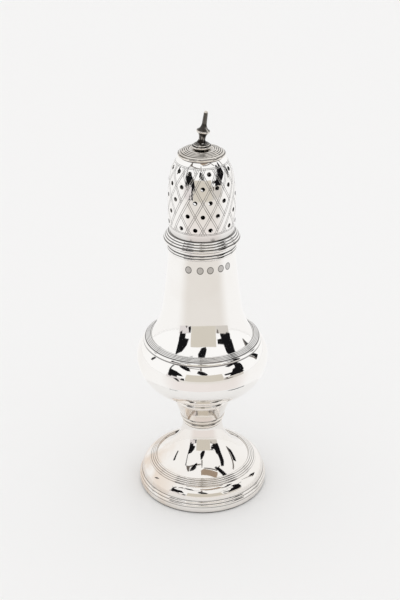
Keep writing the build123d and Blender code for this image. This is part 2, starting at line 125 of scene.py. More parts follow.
# Cap and finial
CAP_RADIUS = 8.05 * MM
CAP_EDGE = 0.95 * MM
CAP_BAND = (0.85 * MM, 0.45 * MM)
CAP_REEDS_WIDTH = 2.7 * MM
CAP_REEDS = 4
PEDESTAL_RADIUS = 2.2 * MM
PEDESTAL_HEIGHT = 0.55 * MM
COLLAR_RADIUS = 3.2 * MM
COLLAR_DISC = 0.75 * MM
COLLAR_TOP_RADIUS = 2.65 * MM
COLLAR_BROW = (2.0 * MM, 0.35 * MM)
URN_FOOT_RADIUS = 1.7 * MM
URN_WAIST = (1.15 * MM, 1.1 * MM)
URN_RADIUS = 1.85 * MM
URN_HEIGHT = 3.7 * MM
URN_HOLLOW = 0.25 * MM
FLANGE_RADIUS = 2.1 * MM
FLANGE_HEIGHT = 0.9 * MM
SPIRE_RADIUS = 1.95 * MM
SPIRE_BEND = (0.85 * MM, 2.1 * MM)
SPIRE_HOLLOW = 0.22 * MM
SPIRE_TIP_RADIUS = 0.7 * MM
SPIRE_HEIGHT = 6.85 * MM
FINIAL_LEAN = math.radians(8.0)
RIVET_RADIUS = 1.7 * MM
RIVET_HEIGHT = 0.6 * MM

# Levels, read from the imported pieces
RIM_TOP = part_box("foot_rim_wire")[1].z
STEP_LEVEL = RIM_TOP + 4.6 * MM
TRUMPET_FOOT = STEP_LEVEL + 1.5 * MM
STEM_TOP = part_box("foot_shell")[1].z
KNOP_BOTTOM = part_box("knop")[0].z
KNOP_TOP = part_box("knop")[1].z
BOWL_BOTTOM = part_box("bowl")[0].z
BELLY = BOWL_BOTTOM + BELLY_HEIGHT
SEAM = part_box("bowl")[1].z
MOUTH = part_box("neck")[1].z
MOUTH_WIRE_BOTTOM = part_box("mouth_wire")[0].z
SLEEVE_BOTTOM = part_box("cover_sleeve")[0].z
DOME_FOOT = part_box("cover_dome")[0].z
COVER_RIM_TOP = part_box("cover_rim_wire")[1].z
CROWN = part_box("cover_dome")[1].z
COLLAR_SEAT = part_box("finial_collar")[0].z
COLLAR_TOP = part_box("finial_collar")[1].z

# How dark a reed is painted with tarnish and painted shade, from its valley point by point up its side
VALLEY = (1.0, 0.9, 0.5, 0.12)
FINE_VALLEY = (0.9, 0.35, 0.0)
SOFT_VALLEY = (0.65, 0.45, 0.2, 0.05)
DEEP_VALLEY = (1.0, 1.0, 0.8, 0.35)

# How dark other places are painted: a painted contact shadow up the foot from the table, painted shade up
# the dome from its foot, and tarnish at a seam between two pieces and inside
TABLE_CONTACT_SHADOW = (1.0, 1.0, 0.8, 0.3)
DOME_FOOT_SHADE = (0.9, 0.4, 0.24, 0.22, 0.2, 0.18, 0.16, 0.13, 0.1, 0.06)
SEAM_STAIN = 0.8
GIRDLE_STAIN = 0.7
INSIDE_STAIN = 0.35

# Steps round a turned piece, and the angle past which an edge stays crisp
TURNS = 192
CRISP = math.radians(35)
SAME_POINT = 0.001 * MM


class Section:
    """Half of a turned piece's section, drawn point by point, with how deep in a recess each point lies,
    which sets its tarnish and painted shade.
    """

    def __init__(self, start):
        self.points = [Vector(start)]
        self.recess = [0.0]
        self.way = Vector((0, 1))

    def line(self, end, steps=1):
        """A straight run to end."""
        start = self.points[-1]
        run = Vector(end) - start
        for step in range(1, steps + 1):
            self.points.append(start + run * (step / steps))
            self.recess.append(0.0)
        self.way = run.normalized()
        return self

    def arc(self, end, rise, steps=12):
        """A round run to end that bulges to the right of the way by rise, or to the left if rise
        is negative."""
        start, end = self.points[-1], Vector(end)
        chord = end - start
        half = chord.length / 2
        right = Vector((chord.y, -chord.x)).normalized()
        radius = (half * half + rise * rise) / (2 * rise)
        centre = (start + end) / 2 + right * (rise - radius)
        turn = 4 * math.atan(rise / half)
        arm = start - centre
        for step in range(1, steps + 1):
            c, s = math.cos(turn * step / steps), math.sin(turn * step / steps)
            self.points.append(centre + Vector((arm.x * c - arm.y * s, arm.x * s + arm.y * c)))
            self.recess.append(0.0)
        self.points[-1] = end
        side = Vector((-arm.y, arm.x)).normalized() * (1 if turn > 0 else -1)
        c, s = math.cos(turn), math.sin(turn)
        self.way = Vector((side.x * c - side.y * s, side.x * s + side.y * c))
        return self

    def sweep(self, end, steps=20):
        """A round run to end that carries on smoothly from the run before it."""
        chord = Vector(end) - self.points[-1]
        cross = self.way.x * chord.y - self.way.y * chord.x
        angle = math.atan2(cross, self.way.dot(chord))
        return self.arc(end, chord.length / 2 * math.tan(angle / 2), steps)

    def reeds(self, end, count, rise, steps=10, valley=VALLEY):
        """Equal half-round reeds to end, with a valley painted dark on each side of every reed, tarnish and
        painted shade.
        """
        start = self.points[-1]
        run = (Vector(end) - start) / count
        for reed in range(count):
            self.recess[-1] = 1.0
            self.arc(start + run * (reed + 1), rise, steps)
            for step, depth in enumerate(valley):
                self.recess[-1 - step] = self.recess[step - steps - 1] = depth
        return self

    def stain_and_shade(self, depth, points=1):
        """Darkens the last few points at least this much, for tarnish and painted shade."""
        for index in range(1, points + 1):
            self.recess[-index] = max(self.recess[-index], depth)
        return self

    def wall(self, thickness, floor=None, top=None):
        """Turns back along the inside of a sheet, cut level at its floor and top, and closes
        the section."""
        outer = list(self.points)
        inner = []
        for index, point in enumerate(outer):
            before = outer[max(index - 1, 0)]
            after = outer[min(index + 1, len(outer) - 1)]
            way = (after - before).normalized()
            inner.append(point + Vector((-way.y, way.x)) * thickness)
        if floor is not None:
            inner[0] = level_with(inner[0], inner[1], floor)
        if top is not None:
            inner[-1] = level_with(inner[-1], inner[-2], top)
        for point in reversed(inner):
            self.points.append(Vector((max(point.x, 0), point.y)))
            self.recess.append(INSIDE_STAIN)
        return self.close()

    def close(self):
        """Comes back to the first point."""
        self.points.append(self.points[0].copy())
        self.recess.append(self.recess[0])
        return self


def level_with(point, neighbour, level):
    """The point where the run from neighbour through point meets a level."""
    run = point - neighbour
    if abs(run.y) < SAME_POINT:
        return Vector((point.x, level))
    return neighbour + run * ((level - neighbour.y) / run.y)


def on_flare(level):
    """The point of the neck's straight flare at a level."""
    return Vector((NECK_FOOT_RADIUS - (level - SEAM) * math.tan(FLARE_ANGLE), level))


def deselect():
    bpy.ops.object.select_all(action="DESELECT")


def make_active(piece):
    deselect()
    piece.select_set(True)
    bpy.context.view_layer.objects.active = piece


def rest_at_origin(piece):
    """Puts a piece's place into its mesh, with its object at the origin."""
    make_active(piece)
    bpy.ops.object.transform_apply(location=True, rotation=True, scale=True)


def turned(name, section, turns=TURNS):
    """Spins a section round the Z axis, as on a lathe."""
    deselect()
    start = section.points[0]
    bpy.ops.mesh.primitive_plane_add(size=MM, location=(start.x, 0, start.y))
    piece = bpy.context.active_object
    piece.name = name
    piece.data.name = name
    bpy.ops.object.mode_set(mode="EDIT")
    bpy.ops.mesh.select_all(action="SELECT")
    bpy.ops.mesh.merge(type="CENTER")
    for here, there in zip(section.points, section.points[1:]):
        step = there - here
        bpy.ops.mesh.extrude_region_move(TRANSFORM_OT_translate={"value": (step.x, 0, step.y)})
    bpy.ops.mesh.select_all(action="SELECT")
    bpy.ops.mesh.spin(steps=turns, angle=2 * math.pi, center=(0, 0, 0), axis=(0, 0, 1))
    bpy.ops.mesh.select_all(action="SELECT")
    bpy.ops.mesh.remove_doubles(threshold=SAME_POINT)
    bpy.ops.mesh.normals_make_consistent(inside=False)
    bpy.ops.object.mode_set(mode="OBJECT")
    rest_at_origin(piece)
    bpy.ops.object.shade_smooth_by_angle(angle=CRISP)
    note_recesses(piece, section)
    return piece


def nearest_on(section):
    """A search tree of the section's points."""
    tree = kdtree.KDTree(len(section.points))
    for index, point in enumerate(section.points):
        tree.insert((point.x, point.y, 0), index)
    tree.balance()
    return tree


def note_recesses(piece, section):
    """Stores on each vertex how deep in a recess it lies, for the tarnish and painted shade."""
    tree = nearest_on(section)
    recess = piece.data.attributes.new("recess", "FLOAT", "POINT")
    for vertex in piece.data.vertices:
        x, y, z = vertex.co
        index = tree.find((math.hypot(x, y), z, 0))[1]
        recess.data[vertex.index].value = section.recess[index]


def finish_piece(piece, body, material, *nodes):
    """Gives a piece its material, seats it on its body and lets it stand for its nodes."""
    piece.data.materials.clear()
    piece.data.materials.append(material)
    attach(piece, body)
    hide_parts(*nodes)
    return piece


class Recipe:
    """A silver finish, put together node by node round one Principled shader."""

    def __init__(self, name):
        self.material = bpy.data.materials.new(name)
        self.material.use_nodes = True
        self.nodes = self.material.node_tree.nodes
        self.links = self.material.node_tree.links
        self.shader = self.nodes["Principled BSDF"]
        self.shader.inputs["Metallic"].default_value = 1.0

    def node(self, kind, **settings):
        made = self.nodes.new(kind)
        for key, value in settings.items():
            setattr(made, key, value)
        return made

    def feed(self, value, socket):
        """Links an output, or writes a number, into a socket."""
        if isinstance(value, bpy.types.NodeSocket):
            self.links.new(value, socket)
        else:
            socket.default_value = value

    def math(self, operation, *values):
        made = self.node("ShaderNodeMath", operation=operation)
        for value, socket in zip(values, made.inputs):
            self.feed(value, socket)
        return made.outputs[0]

    def ramp(self, value, low, high, start=0.0, end=1.0):
        """Carries value from low..high over to start..end, smoothly and no further."""
        made = self.node("ShaderNodeMapRange", interpolation_type="SMOOTHSTEP")
        for name, number in (("From Min", low), ("From Max", high), ("To Min", start), ("To Max", end)):
            self.feed(number, made.inputs[name])
        self.feed(value, made.inputs["Value"])
        return made.outputs["Result"]

    def noise(self, scale, detail=2.0, stretch=(1, 1, 1)):
        """A cloudy number from 0 to 1 on the piece's own place."""
        place = self.node("ShaderNodeTexCoord").outputs["Object"]
        mapping = self.node("ShaderNodeMapping")
        mapping.inputs["Scale"].default_value = stretch
        self.links.new(place, mapping.inputs["Vector"])
        made = self.node("ShaderNodeTexNoise")
        made.inputs["Scale"].default_value = scale
        made.inputs["Detail"].default_value = detail
        self.links.new(mapping.outputs["Vector"], made.inputs["Vector"])
        return made.outputs["Fac"]

    def split_place(self):
        """The three parts of the piece's own place."""
        place = self.node("ShaderNodeTexCoord").outputs["Object"]
        made = self.node("ShaderNodeSeparateXYZ")
        self.links.new(place, made.inputs[0])
        return made.outputs

    def attribute(self, name):
        return self.node("ShaderNodeAttribute", attribute_name=name).outputs["Fac"]

    def mix(self, factor, first, second):
        made = self.node("ShaderNodeMix", data_type="RGBA")
        self.feed(factor, made.inputs["Factor"])
        self.feed(first, made.inputs[6])
        self.feed(second, made.inputs[7])
        return made.outputs[2]

    def bump(self, height, depth, before=None):
        made = self.node("ShaderNodeBump")
        made.inputs["Distance"].default_value = depth
        made.inputs["Strength"].default_value = 1.0
        self.links.new(height, made.inputs["Height"])
        if before is not None:
            self.links.new(before, made.inputs["Normal"])
        return made.outputs["Normal"]


BRIGHT = (0.955, 0.94, 0.92, 1)
WORN = (0.9, 0.87, 0.835, 1)
MELLOW = (0.86, 0.815, 0.755, 1)
BROWNED = (0.36, 0.29, 0.225, 1)
CLOUDED = (0.84, 0.795, 0.735, 1)
# A warm reflection, painted on one side of the foot
WARM_REFLECTION = (0.72, 0.56, 0.42, 1)
# The dark of tarnish and painted shade, laid in recesses, engraved lines and punches
TARNISH_AND_SHADE = (0.022, 0.018, 0.015, 1)

# How far the hand-raised sheet is out of true, in the large and in the small, as (depth, fineness)
RAISED = (0.055 * MM, 75)
PLANISHED = (0.007 * MM, 260)

# Patterns in the tarnish and the painted warm reflection: how fine each is, and between which values of the
# noise it sets in
CLOUD_FINENESS = 55
CLOUD_RANGE = (0.48, 0.75)
BLOTCH_FINENESS = 95
BLOTCH_RANGE = (0.38, 0.62)
STREAK_FINENESS = 700
STREAK_STRETCH = (1, 1, 0.35)
STREAK_RANGE = (0.34, 0.46)
HAIRLINE_FINENESS = 900
HAIRLINE_STRETCH = (1, 1, 0.12)

# How much rougher hairlines, recesses and engraved lines are than the polish
HAIRLINE_ROUGHNESS = 0.05
RECESS_ROUGHNESS = 0.25
LINE_ROUGHNESS = 0.3


def silver(name, metal=BRIGHT, dull=CLOUDED, cloud=0.25, polish=0.05, streaks=0.0, warm_reflection=None,
           engraving=None):
    """Polished silver: faint clouds of tarnish, recesses darkened with tarnish and painted shade, hairlines
    and a hand-raised surface.

    streaks is how much of the dark in a recess is worn off in places. The argument after streaks places a
    warm reflection painted on one side, as (full at X, gone at X, strength)."""
    recipe = Recipe(name)
    recess = recipe.attribute("recess")
    if streaks > 0:
        grain = recipe.noise(STREAK_FINENESS, 3.0, STREAK_STRETCH)
        worn = recipe.ramp(grain, *STREAK_RANGE, 1.0 - streaks, 1.0)
        recess = recipe.math("MULTIPLY", recess, worn)
    clouds = recipe.ramp(recipe.noise(CLOUD_FINENESS, 3.0), *CLOUD_RANGE, 0.0, cloud)
    colour = recipe.mix(clouds, metal, dull)
    # A warm reflection painted on one side of the piece, broken up by blotches
    if warm_reflection is not None:
        full, gone, strength = warm_reflection
        side = recipe.ramp(recipe.split_place()[0], gone, full, 0.0, strength)
        blotches = recipe.ramp(recipe.noise(BLOTCH_FINENESS, 4.0), *BLOTCH_RANGE)
        colour = recipe.mix(recipe.math("MULTIPLY", side, blotches), colour, WARM_REFLECTION)
    # Recesses painted dark, tarnish and painted shade
    colour = recipe.mix(recess, colour, TARNISH_AND_SHADE)
    hairlines = recipe.noise(HAIRLINE_FINENESS, 3.0, HAIRLINE_STRETCH)
    rough = recipe.math("MULTIPLY_ADD", hairlines, HAIRLINE_ROUGHNESS, polish - HAIRLINE_ROUGHNESS / 2)
    rough = recipe.math("MULTIPLY_ADD", recess, RECESS_ROUGHNESS, rough)
    normal = None
    for depth, fineness in (RAISED, PLANISHED):
        normal = recipe.bump(recipe.noise(fineness, 1.0), depth, normal)
    if engraving is not None:
        line, relief, depth = engraving(recipe)
        # Engraved lines and punches painted dark, tarnish and painted shade
        colour = recipe.mix(line, colour, TARNISH_AND_SHADE)
        rough = recipe.math("MULTIPLY_ADD", line, LINE_ROUGHNESS, rough)
        normal = recipe.bump(relief, depth, normal)
    recipe.feed(colour, recipe.shader.inputs["Base Color"])
    recipe.feed(rough, recipe.shader.inputs["Roughness"])
    recipe.feed(normal, recipe.shader.inputs["Normal"])
    return recipe.material


LINE_OFFSET = 0.138
LINE_HALF_WIDTH = 0.034
LINE_SOFTNESS = 0.02
LINE_DARKNESS = 0.85
LINE_DEPTH = 0.03 * MM
BORDER_OFFSET = 0.045
BORDER_HALF_WIDTH = 0.013


def lattice(recipe):
    """The engraved lines of the dome, on a map counted in columns across and hole rows up."""
    across, up, _ = recipe.node("ShaderNodeSeparateXYZ").outputs
    place = recipe.node("ShaderNodeUVMap", uv_map="lattice")
    recipe.links.new(place.outputs["UV"], across.node.inputs["Vector"])
    rising = recipe.math("ADD", recipe.math("SUBTRACT", across, up), 1.0)
    panel = recipe.math("FLOOR", recipe.math("DIVIDE", rising, PANEL_STEPS))
    within = recipe.math("SUBTRACT", rising, recipe.math("MULTIPLY", panel, PANEL_STEPS))
    in_panel = recipe.math("LESS_THAN", within, PANEL_STEPS - 1 + LINE_OFFSET)
    to_rising = recipe.math("MINIMUM", recipe.math("PINGPONG", within, 1.0),
                            recipe.math("SUBTRACT", PANEL_STEPS, within))
    falling = recipe.math("SUBTRACT", recipe.math("ADD", across, up),
                          recipe.math("MULTIPLY", panel, PANEL_STEPS))
    to_falling = recipe.math("SUBTRACT", 1.0, recipe.math("PINGPONG", falling, 1.0))
    lines = []
    for distance, gate in ((to_rising, None), (to_falling, in_panel)):
        off_line = recipe.math("ABSOLUTE", recipe.math("SUBTRACT", distance, LINE_OFFSET))
        line = recipe.ramp(off_line, LINE_HALF_WIDTH + LINE_SOFTNESS, LINE_HALF_WIDTH - LINE_SOFTNESS)
        lines.append(line if gate is None else recipe.math("MULTIPLY", line, gate))
    between = recipe.math("MULTIPLY", recipe.math("GREATER_THAN", up, LOWER_BORDER),
                          recipe.math("LESS_THAN", up, UPPER_BORDER))
    field = recipe.math("MULTIPLY", recipe.math("MAXIMUM", *lines), between)
    for border in (LOWER_BORDER, UPPER_BORDER):
        to_border = recipe.math("ABSOLUTE", recipe.math("SUBTRACT", up, border))
        off_line = recipe.math("ABSOLUTE", recipe.math("SUBTRACT", to_border, BORDER_OFFSET))
        ring = recipe.ramp(off_line, 1.5 * BORDER_HALF_WIDTH, 0.5 * BORDER_HALF_WIDTH)
        field = recipe.math("MAXIMUM", field, ring)
    line = recipe.math("MULTIPLY", field, LINE_DARKNESS)
    return line, recipe.math("SUBTRACT", 1.0, field), LINE_DEPTH


PUNCH_LEVEL = 95.8 * MM
PUNCH_AZIMUTHS = (-23, -3, 14, 33, 48)
PUNCH_HALF_WIDTH = 1.15 * MM
PUNCH_HALF_HEIGHT = 1.3 * MM
PUNCH_DEPTH = 0.05 * MM

# The punches' dark rim, dark ground and sloping wall, counted in half widths from the middle
PUNCH_RIM = 0.92
PUNCH_RIM_FADE = (0.2, 0.02)
PUNCH_RIM_DARKNESS = 0.9
PUNCH_GROUND_FADE = (0.95, 0.85)
PUNCH_GROUND_DARKNESS = 0.4
PUNCH_WALL = (0.8, 1.0)


def punches(recipe):
    """Five small plain oval punches in a row under the mouth's wire."""
    x, y, z = recipe.split_place()
    turn = recipe.math("ARCTAN2", x, recipe.math("MULTIPLY", y, -1.0))
    up = recipe.math("DIVIDE", recipe.math("SUBTRACT", z, PUNCH_LEVEL), PUNCH_HALF_HEIGHT)
    nearest = None
    for azimuth in PUNCH_AZIMUTHS:
        off = recipe.math("SUBTRACT", turn, math.radians(azimuth))
        across = recipe.math("MULTIPLY", off, MOUTH_RADIUS / PUNCH_HALF_WIDTH)
        away = recipe.math("SQRT", recipe.math("ADD", recipe.math("MULTIPLY", across, across),
                                               recipe.math("MULTIPLY", up, up)))
        nearest = away if nearest is None else recipe.math("MINIMUM", nearest, away)
    off_rim = recipe.math("ABSOLUTE", recipe.math("SUBTRACT", nearest, PUNCH_RIM))
    rim = recipe.ramp(off_rim, *PUNCH_RIM_FADE, 0.0, PUNCH_RIM_DARKNESS)
    ground = recipe.ramp(nearest, *PUNCH_GROUND_FADE, 0.0, PUNCH_GROUND_DARKNESS)
    return recipe.math("MAXIMUM", rim, ground), recipe.ramp(nearest, *PUNCH_WALL), PUNCH_DEPTH


def foot():
    """The foot: its rim wire, the raised shell with its trumpet stem, and the reeded wire on the step."""
    inner = RIM_RADIUS - RIM_WIDTH
    rim = Section((inner, 0)).line((RIM_RADIUS - RIM_UNDERCUT, 0))
    rim.arc((RIM_RADIUS, RIM_BAND), REED_RISE, 14)
    # A painted contact shadow on the rim's foot where it meets the table
    rim.recess[1:5] = TABLE_CONTACT_SHADOW
    rim.reeds((SHOULDER_RADIUS, RIM_TOP), 2, REED_RISE, valley=FINE_VALLEY)
    rim.line((inner, RIM_TOP)).close()
    finish_piece(turned("foot_rim", rim), "vessel", foot_silver, "foot_rim_wire")

    bend = (TRUMPET_BEND[0], TRUMPET_FOOT + TRUMPET_BEND[1])
    shell = Section((SHOULDER_RADIUS, RIM_TOP)).arc((STEP_RADIUS, STEP_LEVEL), SHOULDER_BULGE, 24)
    shell.line((TRUMPET_RADIUS, TRUMPET_FOOT), 4).arc(bend, -TRUMPET_HOLLOW, 20)
    shell.sweep((STEM_RADIUS, STEM_TOP), 24)
    shell.recess[0] = SEAM_STAIN
    shell.wall(SHEET, floor=RIM_TOP, top=STEM_TOP)
    finish_piece(turned("foot_shoulder_and_stem", shell), "vessel", foot_silver, "foot_shell")

    run = Vector((TRUMPET_RADIUS - STEP_RADIUS, TRUMPET_FOOT - STEP_LEVEL)).normalized()
    back = Vector((run.y, -run.x)) * WIRE_BACK
    step = Section((STEP_RADIUS, STEP_LEVEL)).line(Vector((STEP_RADIUS, STEP_LEVEL)) + back)
    step.reeds(Vector((TRUMPET_RADIUS, TRUMPET_FOOT)) + back, STEP_REEDS, FINE_REED_RISE, valley=SOFT_VALLEY)
    step.line((TRUMPET_RADIUS, TRUMPET_FOOT)).close()
    finish_piece(turned("foot_step_reeds", step), "vessel", foot_silver, "foot_reeded_wire")


def stem():
    """The turned collar at the top of the stem, the cup-shaped knop and the fine reed above it."""
    bore = STEM_RADIUS - SHEET
    spread = STEM_RADIUS + STEM_SPREAD
    collar = Section((bore, STEM_TOP)).line((STEM_RADIUS, STEM_TOP))
    collar.reeds((STEM_RADIUS, STEM_TOP + STEM_REED), 1, REED_RISE, valley=SOFT_VALLEY)
    collar.line((spread, KNOP_BOTTOM - STEM_REED), 2)
    collar.reeds((spread, KNOP_BOTTOM), 1, REED_RISE, valley=SOFT_VALLEY)
    collar.line((bore, KNOP_BOTTOM)).close()
    finish_piece(turned("stem_collar_turned", collar), "vessel", dark_silver, "stem_collar")

    cup_top = KNOP_BOTTOM + KNOP_CUP_HEIGHT
    knop = Section((KNOP_BASE_RADIUS, KNOP_BOTTOM))
    knop.arc((KNOP_RADIUS, cup_top), -KNOP_CUP_HOLLOW, 24)
    knop.arc((KNOP_TOP_RADIUS, KNOP_TOP - KNOP_COVE_HEIGHT), REED_RISE, 10)
    knop.recess[-1] = SEAM_STAIN
    knop.arc((KNOP_TOP_RADIUS, KNOP_TOP), -FINE_REED_RISE, 8)
    knop.recess[0] = SEAM_STAIN
    knop.wall(SHEET, floor=KNOP_BOTTOM, top=KNOP_TOP)
    finish_piece(turned("knop_cup", knop), "vessel", foot_silver, "knop")

    bore = KNOP_TOP_RADIUS - SHEET
    reed = Section((bore, KNOP_TOP)).line((KNOP_TOP_RADIUS, KNOP_TOP))
    reed.reeds((KNOP_TOP_RADIUS, BOWL_BOTTOM), 1, REED_RISE)
    reed.line((bore, BOWL_BOTTOM)).close()
    finish_piece(turned("knop_reed", reed), "vessel", dark_silver, "knop_collar")


def vessel():
    """The bowl and the neck, soldered at the seam, with the girdle over the seam and the mouth's wire."""
    bowl = Section((0, BOWL_BOTTOM)).line((BOWL_FLOOR_RADIUS, BOWL_BOTTOM), 6)
    bowl.arc((BOWL_BEND[0], BOWL_BOTTOM + BOWL_BEND[1]), BOWL_BEND_BULGE, 16)
    bowl.sweep((BOWL_RADIUS, BELLY), 32).sweep((SEAM_RADIUS, SEAM), 24)
    bowl.recess[-1] = GIRDLE_STAIN
    bowl.wall(SHEET, top=SEAM)
    finish_piece(turned("bowl_raised", bowl), "vessel", body_silver, "bowl")

    flare_top = SEAM + GIRDLE_HEIGHT + FLARE_SHOWING
    neck = Section(on_flare(SEAM)).line(on_flare(flare_top), 4)
    neck.sweep((WAIST[0], flare_top + WAIST[1]), 40).sweep((MOUTH_RADIUS, MOUTH_WIRE_BOTTOM), 40)
    neck.line((MOUTH_RADIUS, MOUTH), 4)
    neck.wall(SHEET, floor=SEAM, top=MOUTH)
    finish_piece(turned("neck_raised", neck), "vessel", neck_silver, "neck")

    edge = SEAM_RADIUS + GIRDLE_OVERHANG
    edge_top = (edge - GIRDLE_EDGE[0], SEAM + GIRDLE_EDGE[1])
    top = on_flare(SEAM + GIRDLE_HEIGHT)
    back = Vector((math.cos(FLARE_ANGLE), math.sin(FLARE_ANGLE))) * WIRE_BACK
    girdle = Section((NECK_FOOT_RADIUS, SEAM)).line((edge, SEAM))
    girdle.reeds(edge_top, 1, REED_RISE, 12).reeds(top + back, GIRDLE_REEDS, FINE_REED_RISE / 2)
    girdle.line(top).close()
    finish_piece(turned("girdle_reeds", girdle), "vessel", wire_silver, "girdle_wire")

    valley = MOUTH_RADIUS + WIRE_BACK
    wire = Section((MOUTH_RADIUS, MOUTH_WIRE_BOTTOM)).line((valley, MOUTH_WIRE_BOTTOM))
    wire.reeds((valley, MOUTH - MOUTH_BAND), MOUTH_REEDS, REED_RISE)
    wire.reeds((valley, MOUTH), 1, REED_RISE)
    wire.line((MOUTH_RADIUS, MOUTH)).close()
    finish_piece(turned("mouth_reeds", wire), "vessel", wire_silver, "mouth_wire")


def dome_section():
    """The dome's section, from its foot up the barrel to the flat crown."""
    section = Section((DOME_RADIUS, DOME_FOOT)).line((DOME_RADIUS, COVER_RIM_TOP), 2)
    section.arc((BARREL[0], COVER_RIM_TOP + BARREL[1]), BARREL_BULGE, BARREL_STEPS)
    # Painted shade on the dome, fading up from where it rises out of the rim wire
    for step, depth in enumerate(DOME_FOOT_SHADE):
        section.recess[step - BARREL_STEPS - 1] = depth
    section.sweep((DOME_BEND[0], CROWN - DOME_BEND[1]), 36).sweep((CROWN_RADIUS, CROWN), 32)
    return section


def along_dome(section, distance):
    """The point and the way of the dome's side at a distance up the sheet from the top of the rim."""
    points = [p for p in section.points if p.y >= COVER_RIM_TOP - SAME_POINT]
    for here, there in zip(points, points[1:]):
        run = there - here
        if distance <= run.length:
            return here + run * (distance / run.length), run.normalized()
        distance -= run.length
    return points[-1], run.normalized()


def pierce(dome, section):
    """Drills the sprinkling holes, each square to the sheet."""
    drills = []
    for row in range(HOLE_ROWS):
        spot, way = along_dome(section, FIRST_ROW + row * ROW_PITCH)
        tilt = math.atan2(way.y, -way.x)
        for column in range(HOLE_COLUMNS * PANELS):
            panel, place = divmod(column, HOLE_COLUMNS)
            azimuth = FIRST_AZIMUTH + COLUMN_STEP * (PANEL_STEPS * panel + 2 * place + row)
            centre = Vector((spot.x * math.sin(azimuth), -spot.x * math.cos(azimuth), spot.y))
            deselect()
            bpy.ops.mesh.primitive_cylinder_add(
                vertices=28, radius=HOLE_RADIUS, depth=4 * COVER_SHEET, location=centre,
                rotation=(tilt, 0, azimuth),
            )
            drills.append(bpy.context.active_object)
    for drill in drills:
        drill.select_set(True)
    bpy.ops.object.join()
    drill = bpy.context.active_object
    cut = dome.modifiers.new("holes", "BOOLEAN")
    cut.object = drill
    cut.operation = "DIFFERENCE"
    cut.solver = "EXACT"
    make_active(dome)
    bpy.ops.object.modifier_apply(modifier=cut.name)
    bpy.data.objects.remove(drill)


def map_lattice(dome, section):
    """Unwraps the dome into columns across and hole rows up, for the engraving."""
    heights, rows, travelled = [], [], -(COVER_RIM_TOP - DOME_FOOT) - FIRST_ROW
    for here, there in zip(section.points, section.points[1:]):
        heights.append(here.y)
        rows.append(travelled / ROW_PITCH)
        travelled += (there - here).length
    layer = dome.data.uv_layers.new(name="lattice")
    for polygon in dome.data.polygons:
        middle = math.atan2(polygon.center.x, -polygon.center.y)
        for loop in polygon.loop_indices:
            corner = dome.data.vertices[dome.data.loops[loop].vertex_index].co
            turn = math.atan2(corner.x, -corner.y) - middle
            azimuth = middle + (turn + math.pi) % (2 * math.pi) - math.pi
            layer.data[loop].uv = (
                (azimuth - FIRST_AZIMUTH) / COLUMN_STEP,
                row_at(heights, rows, corner.z),
            )


def row_at(heights, rows, level):
    """The lattice row at a height, read off the dome's section."""
    for index in range(1, len(heights)):
        if level <= heights[index]:
            share = (level - heights[index - 1]) / max(heights[index] - heights[index - 1], SAME_POINT)
            return rows[index - 1] + share * (rows[index] - rows[index - 1])
    return rows[-1] + (level - heights[-1]) / ROW_PITCH


